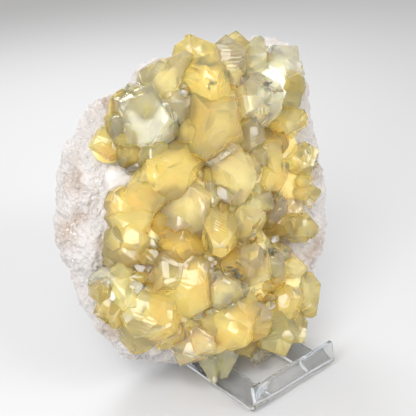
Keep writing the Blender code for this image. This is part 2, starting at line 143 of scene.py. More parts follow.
# The colours that the rock drifts between, stains among them, and the colour of the small blades on it
HEULANDITE_COLOURS = [(0.42, 0.34, 0.28), (0.54, 0.505, 0.49), (0.57, 0.55, 0.545), (0.53, 0.475, 0.455)]
STAIN_SCALE = 45
BLADE_COLOUR = (0.61, 0.59, 0.575)
# Relief on the rock's surface: noise scale in 1/m, its detail, and height in metres
MATRIX_RELIEF = [(500, 4, 0.0012), (1600, 2, 0.0004)]
# The grain of its crust: the size and height of the clumps and of the grains in them
CLUMP_SIZE = 4.5
CLUMP_HEIGHT = 1.5
GRAIN_SIZE = 1.3
GRAIN_HEIGHT = 0.35
CRUST_SINK = 0.2
# The small blades on the rock: how many places are tried, how far round to the back they go,
# their size, how thin they are, how far they narrow to the tip and how wildly they lean
BLADE_TRIES = 5000
BLADE_LIMIT = -0.35
BLADE_SIZE = (0.6, 1.7)
BLADE_THINNESS = 0.5
BLADE_TAPER = 0.55
BLADE_DISORDER = 0.5
# Smooth white masses on the rock: across, up, how far out, then three half sizes
WHITE_BLOCKS = [(-38, 17, 0, 9.5, 8.5, 6), (-29, -75, 0, 4.5, 4.5, 4), (-20, -78, -1, 4, 3.5, 4)]
BLOCK_SQUARENESS = 3.2
BLOCK_RELIEF = 0.05

# The rock's outline on the display plane, clockwise from the notch under the upper left knob
OUTLINE = [
    (-33, 73), (-26, 85), (-19, 87), (-9, 88), (8, 93), (28, 97), (36, 101), (45, 99), (54, 96),
    (61, 84), (65, 66), (70, 48), (73, 30), (76, 12), (75, -3), (76, -14), (73, -28), (68, -40),
    (58, -56), (41, -70), (22, -79), (2, -85), (-12, -88), (-28, -87), (-40, -84), (-50, -73),
    (-61, -57), (-71, -37), (-78, -13), (-78, 4), (-75, 27), (-75, 36), (-66, 46), (-58, 61), (-46, 68),
]

# Lumps on the rock: across, up, radius and height
LUMPS = [
    (-43, 19, 15, 5.0), (-62, 8, 14, 3.0), (-58, -26, 12, 3.5), (-66, 30, 9, 2.5), (-48, 56, 10, 3.0),
    (-21, 76, 9, 4.0), (44, 88, 12, 5.0), (66, 40, 10, 3.0), (69, 4, 9, 3.0), (68, -22, 10, 3.5),
    (-48, -58, 10, 3.5), (-34, -76, 10, 4.0), (-22, -79, 8, 4.5), (-8, -82, 8, 3.5), (-62, -8, 8, -3.0),
]
FINE_RELIEF = 2.6
COARSE_RELIEF = 2.6

# Calcite forms: angle of the face normals from the crystal's long axis, faces in the ring, turn
FORMS = {
    "flat_rhomb": (27.0, 3, 0.0),
    "rhomb": (46.0, 3, 60.0),
    "dogtooth": (68.0, 6, 30.0),
    "prism": (88.0, 6, 0.0),
}
# The forms of each habit, and how far out each stands: the deeper it cuts, the larger its faces
HABITS = {
    "blocky": {"rhomb": 0.76, "prism": 0.84},
    "dogtooth": {"flat_rhomb": 0.94, "dogtooth": 0.76},
    "lens": {"flat_rhomb": 0.74, "dogtooth": 0.90},
    "round": {"flat_rhomb": 0.90, "rhomb": 0.98, "dogtooth": 0.88},
}
FACE_JITTER = 0.20
# How much a crystal has grown beyond its row's size: in the thick of the cluster, and at its rim
CRYSTAL_GROWTH = 1.42
RIM_GROWTH = 1.20
# Smaller crystals stepped out from the large ones, in line with them
STEPPED_WIDTH = 14.0
STEP_COUNT = (1, 4)
STEP_SIZE = (0.42, 0.68)
STEP_ASIDE = (0.30, 0.46)
STEP_OUT = (-1.0, 3.0)

# How far the edges of each habit are rounded, in crystals that are at least ROUNDED_WIDTH wide
ROUNDING = {"blocky": 0.22, "dogtooth": 0.2, "lens": 0.5, "round": 0.9}
ROUNDED_WIDTH = 20.0
# How far the faces of each habit are bowed towards an ellipsoid, of BOWED_HALF of the crystal's size
BOWING = {"blocky": 0.03, "dogtooth": 0.02, "lens": 0.14, "round": 0.24}
BOWED_HALF = 0.92
# Corners nearer each other than this are one, before the edges are rounded and after
CORNER_WELD = 0.05
ROUNDED_WELD = 0.01

# The smallest crystals, on the cloudy calcite between the others: how far above it their middles are
DRUSE_STEP = 6.5
DRUSE_WIDTH = (4.5, 8.0)
DRUSE_LENGTH = (7.0, 13.0)
DRUSE_OUT = (-2.0, 1.0)
DRUSE_ROOM = 0.5

# Bright chips along the edges of the crystals
CHIPPED_WIDTH = 12.0
CHIP_COUNT = (0, 2)
CHIP_ASIDE = 0.56
CHIP_OUT = (3.0, 8.0)
CHIP_WIDTH = (3.0, 5.0)
CHIP_LENGTH = (4.0, 8.0)

# Small crystals in the hollows that the named ones leave: how close together, and their sizes
FILLER_STEP = 12.0
FILLER_REACH = (74.0, 96.0)
FILLER_WIDTH = (9.0, 14.0)
FILLER_LENGTH = (14.0, 24.0)
FILLER_OUT = (5.0, 11.0)
FILLER_OVERLAP = 2.0
BARE_EDGE = 0.85

# Each crystal, under its tone: name, across, up, how far its middle stands out of the plate, width,
# length, tilt of its long axis from the viewpoint, heading of its tip round the display plane, habit
CRYSTALS = {
    "golden": [
        ("crown_lobe", 5, 84, 10, 20, 27, 62, 96, "round"),
        ("crown_lens", 8, 71, 16, 22, 26, 24, 80, "round"),
        ("honey_left", -46, 37, 4, 16, 18, 38, 190, "blocky"),
        ("round_amber", -11, 23, 14, 22, 28, 18, 250, "round"),
        ("honey_flat", -24, 11, 8, 20, 26, 34, 232, "lens"),
        ("tower_behind", 24, 85, 4, 16, 26, 68, 84, "blocky"),
        ("honey_upper_right", 55, 64, 6, 13, 22, 44, 60, "round"),
        ("honey_mid_right", 55, 49, 7, 14, 22, 58, 8, "round"),
        ("great_rhomb", 12, 48, 19, 29, 34, 14, 130, "blocky"),
        ("long_diagonal", 44, 34, 11, 13, 38, 58, 292, "dogtooth"),
        ("honey_edge", 62, 29, 4, 16, 28, 54, 18, "blocky"),
        ("edge_wedge", 63, 11, 4, 15, 19, 58, 350, "dogtooth"),
        ("yellow_triangle", 45, 20, 11, 16, 21, 30, 300, "dogtooth"),
        ("low_left", -33, -3, 6, 23, 22, 34, 190, "lens"),
        ("grainy_lens", -34, -21, 8, 23, 22, 28, 200, "lens"),
        ("great_hex", -23, -58, 11, 31, 34, 24, 250, "blocky"),
        ("orange_round", -3, -41, 13, 27, 26, 14, 270, "round"),
        ("centre_column", 15, -10, 17, 19, 32, 30, 268, "dogtooth"),
        ("honey_kite", 61, -9, 4, 15, 26, 54, 2, "blocky"),
        ("edge_olive", 65, -46, 3, 12, 29, 64, 282, "round"),
        ("yellow_step", 54, -52, 9, 15, 22, 40, 292, "blocky"),
        ("long_honey", 47, -65, 9, 20, 36, 48, 290, "blocky"),
        ("corner_hex", 57, -65, 3, 15, 24, 50, 312, "blocky"),
        ("glowing_round", 24, -62, 14, 25, 28, 24, 268, "round"),
        ("left_middle", -22, 35, 9, 15, 18, 26, 190, "round"),
    ],
    "pale": [
        ("shoulder_wedge", -14, 73, 9, 19, 36, 48, 42, "dogtooth"),
        ("under_wedge", -8, 59, 14, 14, 18, 20, 270, "lens"),
        ("fan", 34, 81, 8, 14, 26, 55, 74, "dogtooth"),
        ("pale_blade", 34, 41, 16, 13, 28, 44, 95, "dogtooth"),
        ("clear_centre", 22, 21, 17, 23, 28, 14, 270, "blocky"),
        ("small_rhomb", 37, 28, 15, 10, 14, 22, 40, "blocky"),
        ("cleft_needle", 6, 16, 10, 8, 20, 34, 92, "dogtooth"),
        ("pale_lens", -2, 2, 16, 21, 20, 10, 200, "lens"),
        ("pink_chip", -5, -60, 9, 11, 16, 36, 250, "dogtooth"),
        ("centre_right", 30, -6, 16, 17, 26, 24, 40, "dogtooth"),
        ("small_triangle", 40, 4, 14, 11, 16, 28, 80, "dogtooth"),
        ("striped_blade", 34, -31, 17, 19, 30, 24, 82, "dogtooth"),
        ("pale_knob", 46, -32, 13, 11, 14, 28, 330, "round"),
        ("pale_button", 57, -32, 8, 13, 18, 44, 340, "round"),
        ("milky_middle", 18, -45, 16, 17, 20, 18, 100, "round"),
        ("lower_middle", 8, -28, 11, 15, 20, 20, 300, "dogtooth"),
        ("tip_left", 12, -85, 3, 13, 26, 66, 278, "dogtooth"),
        ("tip_right", 20, -81, 5, 14, 26, 62, 262, "dogtooth"),
    ],
    "clear": [
        ("clear_rhomb", -25, 50, 11, 25, 27, 28, 150, "blocky"),
        ("glassy_chip", -31, 26, 7, 9, 12, 34, 240, "blocky"),
        ("tower", 22, 78, 10, 15, 32, 58, 92, "blocky"),
        ("clear_corner", 50, 78, 6, 20, 26, 52, 50, "blocky"),
        ("bright_clear", 38, 62, 15, 20, 22, 14, 10, "blocky"),
        ("frosty_chip", -18, -25, 11, 9, 12, 30, 60, "blocky"),
        ("white_flash", -43, -42, 5, 17, 18, 26, 170, "blocky"),
        ("white_edge", -11, -35, 16, 10, 16, 24, 130, "blocky"),
        ("striated_clear", 1, -74, 6, 17, 22, 44, 250, "blocky"),
        ("clear_chip", 58, 1, 6, 10, 14, 44, 30, "blocky"),
        ("window_chip", 53, -24, 9, 8, 12, 40, 20, "blocky"),
        ("white_triangles", 38, -59, 16, 11, 16, 26, 20, "dogtooth"),
        ("bottom_clear", 38, -77, 4, 16, 18, 58, 280, "round"),
        ("striated_side", 7, -71, 10, 15, 20, 36, 240, "blocky"),
        ("bright_band", 18, 31, 26, 5, 18, 78, 40, "blocky"),
        ("bright_notch", -14, 54, 18, 7, 9, 30, 120, "blocky"),
        ("bright_patch", 21, 9, 23, 9, 11, 30, 200, "blocky"),
        ("white_strip", -32, -44, 15, 5, 9, 60, 30, "blocky"),
    ],
    "amber": [
        ("amber_upper", -38, 56, 5, 10, 19, 52, 104, "dogtooth"),
        ("amber_lower", -35, 47, 6, 10, 15, 40, 120, "dogtooth"),
        ("smoky_left", -33, 33, 8, 13, 16, 30, 215, "round"),
        ("amber_gap", 41, 78, 4, 10, 18, 50, 70, "dogtooth"),
        ("behind_rhomb", 0, 54, 10, 16, 20, 24, 120, "dogtooth"),
        ("small_amber", 50, 38, 9, 10, 16, 30, 300, "round"),
        ("deep_amber", -17, -5, 8, 17, 22, 22, 200, "round"),
        ("under_lens", -43, -28, 3, 10, 14, 40, 220, "round"),
        ("orange_block", -6, -21, 12, 20, 24, 18, 170, "round"),
        ("hex_side", -44, -55, 4, 15, 16, 36, 200, "blocky"),
        ("amber_fill", 49, -8, 9, 15, 24, 34, 350, "dogtooth"),
        ("dark_window", 25, -30, 14, 17, 24, 20, 200, "round"),
        ("orange_side", 31, -74, 7, 14, 18, 40, 290, "blocky"),
    ],
}
FILLER_TONES = ("golden", "clear", "pale", "golden", "amber")

NAMED_CRYSTALS = [row for rows in CRYSTALS.values() for row in rows]

# The cloudy calcite that the crystals grow from: across, up, how far out, then three radii
BEDS = {
    "massive": [
        (8, 61, 4, 32, 24, 15),
        (13, 14, 4, 42, 32, 17),
        (7, -36, 4, 44, 34, 17),
        (20, -64, 3, 30, 16, 14),
    ],
    "milky": [(-26, 47, 3, 19, 17, 17), (-36, -46, 2, 16, 15, 14), (43, 72, 3, 17, 14, 14)],
}
ALL_BEDS = [bed for rows in BEDS.values() for bed in rows]
BED_RELIEF = 1.5
# Thin cloudy calcite under the crystals at the rim
RIM_BEDS = [
    (-26, -8, 2, 15, 26, 12),
    (52, 22, -2, 12, 34, 9),
    (52, -44, -1, 12, 22, 10),
    (-46, 36, 0, 9, 9, 7),
]


def display_axes():
    """The viewpoint's right, up and forward directions."""
    azimuth = math.radians(VIEW_AZIMUTH)
    elevation = math.radians(VIEW_ELEVATION)
    forward = Vector((
        -math.sin(azimuth) * math.cos(elevation),
        math.cos(azimuth) * math.cos(elevation),
        -math.sin(elevation),
    ))
    level_right = forward.cross(Vector((0, 0, 1))).normalized()
    level_up = level_right.cross(forward)
    roll = Quaternion(forward, math.radians(VIEW_ROLL))
    return roll @ level_right, roll @ level_up, forward


RIGHT, UP, FORWARD = display_axes()


def plate_axes():
    """The plate's own across, up and outward directions."""
    azimuth = math.radians(PLATE_AZIMUTH)
    elevation = math.radians(PLATE_ELEVATION)
    out = Vector((
        math.sin(azimuth) * math.cos(elevation),
        -math.cos(azimuth) * math.cos(elevation),
        math.sin(elevation),
    ))
    across = Vector((0, 0, 1)).cross(out).normalized()
    return across, out.cross(across), out


PLATE_ACROSS, PLATE_UP, PLATE_OUT = plate_axes()
FRONT_LEVEL = PLATE_THICKNESS / 2


def sight_line(across, up):
    """The direction from the viewpoint through a point of the display plane."""
    x = across + DISPLAY_CENTRE[0]
    y = up + DISPLAY_CENTRE[1]
    return RIGHT * x + UP * y + FORWARD * DISPLAY_DISTANCE


def on_plate(across, up, level):
    """The point that is seen at (across, up), level millimetres out from the plate's middle plane."""
    line = sight_line(across, up)
    reach = (PLATE_POINT - VIEWPOINT).dot(PLATE_OUT) + level
    return VIEWPOINT + line * (reach / line.dot(PLATE_OUT))


def plate_coordinates(point):
    """(across, up) of a point in the plate's own directions, from PLATE_POINT."""
    away = point - PLATE_POINT
    return away.dot(PLATE_ACROSS), away.dot(PLATE_UP)


INTO_ROW = Matrix.Translation(EASEL_ORIGIN) @ Matrix.Scale(MM, 4)


def new_object(name, mesh, collection=None):
    made = bpy.data.objects.new(name, mesh)
    (collection or bpy.context.scene.collection).objects.link(made)
    return made


def mesh_from(bm, name):
    mesh = bpy.data.meshes.new(name)
    bm.to_mesh(mesh)
    bm.free()
    return mesh


def evaluated_mesh(obj, name):
    """The object's mesh with its modifiers, in world space."""
    bpy.context.view_layer.update()
    graph = bpy.context.evaluated_depsgraph_get()
    mesh = bpy.data.meshes.new_from_object(obj.evaluated_get(graph))
    mesh.transform(obj.matrix_world)
    mesh.name = name
    return mesh


def outline_radii():
    """The plate's middle and its outline round it, as angles and radii in the plate's directions."""
    rim = np.array([plate_coordinates(on_plate(*seen, 0.0)) for seen in OUTLINE])
    middle = (rim.max(axis=0) + rim.min(axis=0)) / 2
    away = rim - middle
    angles = np.arctan2(away[:, 1], away[:, 0])
    order = np.argsort(angles)
    return middle, angles[order], np.hypot(*away.T)[order] - OUTLINE_INSET


def plate_shape(direction, angles, radii):
    """The pillow's point in this direction: across, up and out, before its relief."""
    level_share = math.hypot(direction.x, direction.y)
    angle = math.atan2(direction.y, direction.x)
    radius = np.interp(angle, angles, radii, period=2 * math.pi)
    flatness = PLATE_SQUARENESS
    grown = (level_share**flatness + abs(direction.z) ** flatness) ** (-1 / flatness)
    flat = radius * level_share * grown
    return Vector((flat * math.cos(angle), flat * math.sin(angle), FRONT_LEVEL * direction.z * grown))


LUMP_PLACES = [(on_plate(across, up, FRONT_LEVEL), radius, height) for across, up, radius, height in LUMPS]


def lump_height(point):
    """How far the listed lumps lift this point of the rock."""
    lifts = []
    for place, radius, height in LUMP_PLACES:
        away = (point - place).length / radius
        lifts.append(height * math.exp(-(away**2)))
    return sum(lifts)


def rock_relief(point):
    """Broken ground: broad swells, and knobs between sharp creases."""
    coarse = noise.fractal(point / 26, 0.8, 2.0, 3)
    knobs = noise.turbulence(point / 11, 3, True)
    return COARSE_RELIEF * coarse + FINE_RELIEF * (knobs - 0.6)


def sugar(point):
    """The crust's own grain: clumps of blades a few millimetres wide, and the blades in them."""
    clumps = noise.turbulence(point / CLUMP_SIZE, 2, True)
    grains = noise.noise(point / GRAIN_SIZE)
    return CLUMP_HEIGHT * (clumps - 0.5) + GRAIN_HEIGHT * grains


def matrix_mesh():
    """The heulandite plate: a sphere pulled out to the rock's outline and thickness, then broken up."""
    middle, angles, radii = outline_radii()
    bm = bmesh.new()
    bmesh.ops.create_icosphere(bm, subdivisions=MATRIX_LEVELS, radius=1)
    for vert in bm.verts:
        flat = plate_shape(vert.co.normalized(), angles, radii)
        vert.co = (
            PLATE_POINT
            + PLATE_ACROSS * (middle[0] + flat.x)
            + PLATE_UP * (middle[1] + flat.y)
            + PLATE_OUT * flat.z
        )
    bm.normal_update()
    lifts = [rock_relief(v.co) + lump_height(v.co) + sugar(v.co) - CRUST_SINK for v in bm.verts]
    for vert, lift in zip(bm.verts, lifts):
        vert.co += vert.normal * lift
    bm.transform(INTO_ROW)
    return mesh_from(bm, "heulandite_plate")


def leaning(polar, around):
    """The direction at this angle from the z axis, turned round it so far."""
    sideways = math.sin(polar)
    return Vector((sideways * math.cos(around), sideways * math.sin(around), math.cos(polar)))


def face_planes(name, width, length, habit):
    """A calcite crystal's faces: each one's normal and distance from its middle, z its long axis."""
    rng = np.random.default_rng(sum(ord(letter) * (k + 1) for k, letter in enumerate(name)))
    for form, share in HABITS[habit].items():
        polar, count, turn = FORMS[form]
        for end in (0,) if form == "prism" else (0, 180):
            for k in range(count):
                around = math.radians(turn + end / 3 + 360 * k / count + rng.uniform(-4, 4))
                down = math.radians(abs(end - polar) + rng.uniform(-2, 2))
                normal = leaning(down, around)
                reach = half_size(normal, width, length)
                yield normal, reach * share * (1 + rng.uniform(-FACE_JITTER, FACE_JITTER))


def half_size(normal, width, length):
    """How far a crystal of this width and length reaches in this direction of its own."""
    return math.hypot(length / 2 * normal.z, width / 2 * math.hypot(normal.x, normal.y))


def cut(bm, place, normal):
    """Takes away what is beyond a plane, and closes the cut."""
    parts = bm.verts[:] + bm.edges[:] + bm.faces[:]
    result = bmesh.ops.bisect_plane(bm, geom=parts, plane_co=place, plane_no=normal, clear_outer=True)
    edges = [e for e in result["geom_cut"] if isinstance(e, bmesh.types.BMEdge)]
    if edges:
        bmesh.ops.contextual_create(bm, geom=edges)


def crystal_turn(tilt, heading, habit):
    """The turn that leans a crystal's long axis so, with a face of its habit's first form to the front."""
    lean = math.radians(tilt)
    bearing = math.radians(heading)
    axis = (RIGHT * math.cos(bearing) + UP * math.sin(bearing)) * math.sin(lean) - FORWARD * math.cos(lean)
    to_front = (-FORWARD - axis * axis.dot(-FORWARD)).normalized()
    level = Matrix((to_front, axis.cross(to_front), axis)).transposed()
    first_form = next(iter(HABITS[habit]))
    return level.to_4x4() @ Matrix.Rotation(-math.radians(FORMS[first_form][2]), 4, "Z")


def glare_at(place):
    """The way a face here, in the easel's frame, looks if it mirrors the key light to the viewpoint."""
    spot = in_row_frame(place)
    to_key = (KEY_PLACE - spot).normalized()
    to_viewpoint = (in_row_frame(VIEWPOINT) - spot).normalized()
    return (to_key + to_viewpoint).normalized()


def off_the_glare(normal, glare):
    """The normal of a face that would mirror the key light, turned until it doesn't."""
    short = GLARE_REACH - normal.angle(glare)
    if short <= 0:
        return normal
    return Quaternion(glare.cross(normal).normalized(), short) @ normal


def crystal_mesh(row):
    """One crystal at its place: a block cut back along each of its faces, its edges a little rounded."""
    name, across, up, out, width, length, tilt, heading, habit = row
    growth = CRYSTAL_GROWTH if over_a_bed(across, up) else RIM_GROWTH
    width *= growth
    length *= growth
    turn = crystal_turn(tilt, heading, habit).to_quaternion()
    back = turn.inverted()
    glare = glare_at(on_plate(across, up, FRONT_LEVEL + out))
    bm = bmesh.new()
    grain = bm.loops.layers.uv.new("grain")
    bmesh.ops.create_cube(bm, size=2 * max(width, length))
    for normal, distance in face_planes(name, width, length, habit):
        seen = back @ off_the_glare(turn @ normal, glare)
        cut(bm, seen * distance, seen)
    bright_name = name.split("_of_")[0]
    if bright_name in BRIGHT_FACES:
        bright = back @ glare
        cut(bm, bright * half_size(bright, width, length) * BRIGHT_FACES[bright_name], bright)
    bmesh.ops.remove_doubles(bm, verts=bm.verts, dist=CORNER_WELD)
    bmesh.ops.recalc_face_normals(bm, faces=bm.faces)
    bmesh.ops.bevel(
        bm,
        geom=bm.edges[:],
        offset=ROUNDING[habit] * min(1, width / ROUNDED_WIDTH),
        segments=2,
        profile=0.6,
        affect="EDGES",
        clamp_overlap=True,
    )
    bmesh.ops.remove_doubles(bm, verts=bm.verts, dist=ROUNDED_WELD)
    for vert in bm.verts:
        half = math.hypot(math.hypot(vert.co.x, vert.co.y) * 2 / width, vert.co.z * 2 / length)
        vert.co *= 1 + BOWING[habit] * (BOWED_HALF / max(half, 0.3) - 1)
    for face in bm.faces:
        for loop in face.loops:
            loop[grain].uv = (loop.vert.co.x, loop.vert.co.z)
    bm.transform(crystal_place(row))
    cut(bm, Vector((0, 0, SHEET + 0.1)), Vector((0, 0, -1)))
    bmesh.ops.recalc_face_normals(bm, faces=bm.faces)
    bm.transform(INTO_ROW)
    return mesh_from(bm, name)


def crystal_place(row):
    """Where a crystal's middle is and how it is turned, from its own axes to the easel's."""
    _, across, up, out, _, _, tilt, heading, habit = row
    return Matrix.Translation(on_plate(across, up, FRONT_LEVEL + out)) @ crystal_turn(tilt, heading, habit)


def veil_meshes(row, tone):
    """The milky veils inside a crystal: thin healed cracks, most of them along its cleavage."""
    name, _, _, _, width, length, *_ = row
    rng = np.random.default_rng(sum(map(ord, name)) + 1)
    polar, count, turn = FORMS["rhomb"]
    for number in range(rng.integers(*VEIL_COUNT[tone])):
        around = math.radians(turn + 360 / count * rng.integers(count)) + rng.uniform(-0.3, 0.3)
        normal = leaning(math.radians(polar), around)
        radius = rng.uniform(*VEIL_RADIUS) * width
        aside = Vector(rng.uniform(-1, 1, 3)) * width * VEIL_SCATTER
        aside += normal * rng.uniform(*VEIL_DEPTH) * length
        bm = bmesh.new()
        bmesh.ops.create_icosphere(bm, subdivisions=3, radius=1)
        for vert in bm.verts:
            ragged = radius * (1 + VEIL_RAGGEDNESS * noise.noise(vert.co * 1.6 + aside))
            x, y, z = vert.co
            flat = Vector((x * ragged, y * ragged * VEIL_NARROWNESS, z * VEIL_THICKNESS))
            flat.z += VEIL_WAVE * radius * noise.noise(flat / radius + aside)
            vert.co = flat
        lean = Vector((0, 0, 1)).rotation_difference(normal).to_matrix().to_4x4()
        bm.transform(INTO_ROW @ crystal_place(row) @ Matrix.Translation(aside) @ lean)
        yield mesh_from(bm, f"veil_{name}_{number}")


def over_a_bed(across, up):
    """Whether the cloudy calcite lies under this point of the display plane."""
    for middle, height, _, wide, high, _ in ALL_BEDS:
        if ((across - middle) / wide) ** 2 + ((up - height) / high) ** 2 < BARE_EDGE:
            return True
    return False


def chip_rows():
    """The bright chips along the edges of the named crystals."""
    rng = np.random.default_rng(23)
    for name, across, up, out, width, *_ in NAMED_CRYSTALS:
        if width < CHIPPED_WIDTH:
            continue
        for number in range(rng.integers(*CHIP_COUNT)):
            around = rng.uniform(0, 2 * math.pi)
            aside = CHIP_ASIDE * width
            yield (
                f"chip_of_{name}_{number}",
                across + aside * math.cos(around),
                up + aside * math.sin(around),
                out + rng.uniform(*CHIP_OUT),
                rng.uniform(*CHIP_WIDTH),
                rng.uniform(*CHIP_LENGTH),
                rng.uniform(10, 60),
                rng.uniform(0, 360),
                "blocky",
            )


def stepped_rows(row):
    """The smaller crystals that a large one has grown on its sides, in line with it."""
    name, across, up, out, width, length, tilt, heading, habit = row
    if width < STEPPED_WIDTH:
        return
    rng = np.random.default_rng(sum(map(ord, name)))
    for number in range(rng.integers(*STEP_COUNT)):
        size = rng.uniform(*STEP_SIZE)
        aside = rng.uniform(*STEP_ASIDE) * width
        around = rng.uniform(0, 2 * math.pi)
        yield (
            f"{name}_step_{number}",
            across + aside * math.cos(around),
            up + aside * math.sin(around),
            out + rng.uniform(*STEP_OUT),
            width * size,
            length * size,
            tilt + rng.uniform(-5, 5),
            heading + rng.uniform(-5, 5),
            habit,
        )


def room_at(across, up):
    """How far this point of the display plane is from the side of the nearest named crystal."""
    return min(math.hypot(row[1] - across, row[2] - up) - row[4] / 2 for row in NAMED_CRYSTALS)


def loose_grid(rng, step, jitter):
    """(across, up) of a grid's spots over the display plane, each a little off its place."""
    for row_up in np.arange(-FILLER_REACH[1], FILLER_REACH[1], step):
        for column in np.arange(-FILLER_REACH[0], FILLER_REACH[0], step):
            yield np.array((column, row_up)) + rng.uniform(-jitter, jitter, 2)


def filler_rows():
    """A small crystal at each spot of a loose grid that the named crystals leave bare."""
    rng = np.random.default_rng(7)
    for across, up in loose_grid(rng, FILLER_STEP, 2):
        width, length, out = (rng.uniform(*span) for span in (FILLER_WIDTH, FILLER_LENGTH, FILLER_OUT))
        tilt, heading = rng.uniform(10, 50), rng.uniform(0, 360)
        if room_at(across, up) > -FILLER_OVERLAP and over_a_bed(across, up):
            name = f"filler_{across:.0f}_{up:.0f}"
            yield name, across, up, out, width, length, tilt, heading, "dogtooth"


def bed_top(across, up):
    """How far out the cloudy calcite reaches at this point of the display plane, or None beside it."""
    tops = []
    for middle, height, out, wide, high, thick in ALL_BEDS:
        inside = 1 - ((across - middle) / wide) ** 2 - ((up - height) / high) ** 2
        if inside > 0:
            tops.append(out + thick * math.sqrt(inside))
    return max(tops, default=None)


def druse_rows():
    """The smallest crystals, which crust the cloudy calcite between the others."""
    rng = np.random.default_rng(5)
    for across, up in loose_grid(rng, DRUSE_STEP, 1.5):
        width, length, out = (rng.uniform(*span) for span in (DRUSE_WIDTH, DRUSE_LENGTH, DRUSE_OUT))
        tilt, heading = rng.uniform(5, 60), rng.uniform(0, 360)
        top = bed_top(across, up)
        if room_at(across, up) > DRUSE_ROOM and top is not None:
            name = f"druse_{across:.0f}_{up:.0f}"
            yield name, across, up, top + out, width, length, tilt, heading, "dogtooth"


def bed_mesh(number, row):
    """A low swell of massive calcite under the crystals."""
    across, up, out, wide, high, thick = row
    bm = bmesh.new()
    bmesh.ops.create_icosphere(bm, subdivisions=4, radius=1)
    axes = Matrix((PLATE_ACROSS * wide, PLATE_UP * high, PLATE_OUT * thick)).transposed().to_4x4()
    bm.transform(Matrix.Translation(on_plate(across, up, FRONT_LEVEL + out)) @ axes)
    for vert in bm.verts:
        vert.co += PLATE_OUT * BED_RELIEF * noise.noise(vert.co / 6)
    bm.transform(INTO_ROW)
    return mesh_from(bm, f"bed_{number}")


def union_of(meshes, name):
    """The meshes grown into one closed body."""
    growing = bpy.data.collections.new(f"growing_{name}")
    bpy.context.scene.collection.children.link(growing)
    for mesh in meshes[1:]:
        new_object(f"growing_{mesh.name}", mesh, growing)
    seed = new_object(f"seed_{name}", meshes[0])
    modifier = seed.modifiers.new("union", "BOOLEAN")
    modifier.operation = "UNION"
    modifier.solver = "EXACT"
    modifier.operand_type = "COLLECTION"
    modifier.collection = growing
    mesh = evaluated_mesh(seed, name)
    for obj in [seed, *growing.objects]:
        bpy.data.objects.remove(obj)
    bpy.data.collections.remove(growing)
    return mesh


def principled(name, **values):
    """A material whose Principled BSDF has these values, its nodes and links."""
    made = bpy.data.materials.new(name)
    made.use_nodes = True
    shader = made.node_tree.nodes["Principled BSDF"]
    for socket, value in values.items():
        shader.inputs[socket.replace("_", " ")].default_value = value
    return made, made.node_tree, shader


def absorb(tree, colour, density):
    """The colour that a clear body takes on with depth: density is in 1/m."""
    volume = tree.nodes.new("ShaderNodeVolumeAbsorption")
    volume.inputs["Color"].default_value = (*colour, 1)
    volume.inputs["Density"].default_value = density
    tree.links.new(volume.outputs["Volume"], tree.nodes["Material Output"].inputs["Volume"])


# How far light spreads inside the calcite, for red, green and blue, times the scale in metres
GLOW_REACH = (1.0, 0.9, 0.6)
GLOW_SCALE = 0.006
# The colours that the cloudy calcite drifts between
MASSIVE_COLOURS = {
    "massive": [(0.96, 0.64, 0.18), (0.98, 0.76, 0.33), (0.99, 0.85, 0.50)],
    "milky": [(0.98, 0.90, 0.60), (0.99, 0.95, 0.76), (0.99, 0.97, 0.86)],
}
# The crystals' tones: the colour of what is milky in them, the share of the light that goes through,
# and the colour and density (in 1/m) of what they absorb
TONES = {
    "golden": dict(base=(1.0, 0.88, 0.47), through=0.85, absorbs=(1.0, 0.85, 0.25), density=12),
    "pale": dict(base=(1.0, 0.94, 0.66), through=0.85, absorbs=(1.0, 0.90, 0.38), density=7),
    "clear": dict(base=(1.0, 0.97, 0.82), through=0.89, absorbs=(1.0, 0.94, 0.50), density=4),
    "amber": dict(base=(1.0, 0.79, 0.32), through=0.86, absorbs=(1.0, 0.77, 0.15), density=18),
}
# Calcite's two indices are 1.49 and 1.66, and one between them stands for both
CALCITE_IOR = 1.52
CALCITE_ROUGHNESS = 0.05
# The angle in degrees between two faces above which their edge is sharp
CALCITE_SHARPNESS = 28
SHEET_SHARPNESS = 24
# The veils inside the crystals: how many, and their radius, scatter and depth beside the crystal's size
VEIL_COUNT = {"golden": (0, 2), "pale": (0, 2), "clear": (0, 3), "amber": (0, 2)}
VEIL_RADIUS = (0.15, 0.42)
VEIL_SCATTER = 0.22
VEIL_DEPTH = (0.0, 0.28)
VEIL_THICKNESS = 0.10
VEIL_NARROWNESS = 0.5
VEIL_RAGGEDNESS = 0.5
VEIL_WAVE = 0.08
# Dark mossy specks inside the crystals: across, up, how far out, how far they spread, how many
MOSS = [
    (7, 83, 19, 3.0, 9), (11, 72, 29, 2.5, 7), (19, 77, 18, 2.5, 8), (43, 71, 24, 4.0, 12),
    (54, 24, 14, 2.5, 8), (25, -34, 28, 4.0, 16), (47, -23, 19, 2.5, 8),
]
MOSS_LENGTH = (0.7, 2.2)
MOSS_THINNESS = 0.3
# Relief on the crystal faces and on the massive calcite, given as the rock's is
CALCITE_RELIEF = [(110, 2, 0.0004), (500, 3, 0.0001)]
MASSIVE_RELIEF = [(200, 3, 0.001)]
# The low facets on the crystal faces: their size in metres, and how steep they are
FACET_SIZE = 0.007
FACET_SLOPE = 0.5
# Growth lines: how close together in a crystal's own millimetres, the size of their patches, their height
LINE_SCALE = 0.20
LINE_PATCHES = 75
LINE_HEIGHT = 0.00012


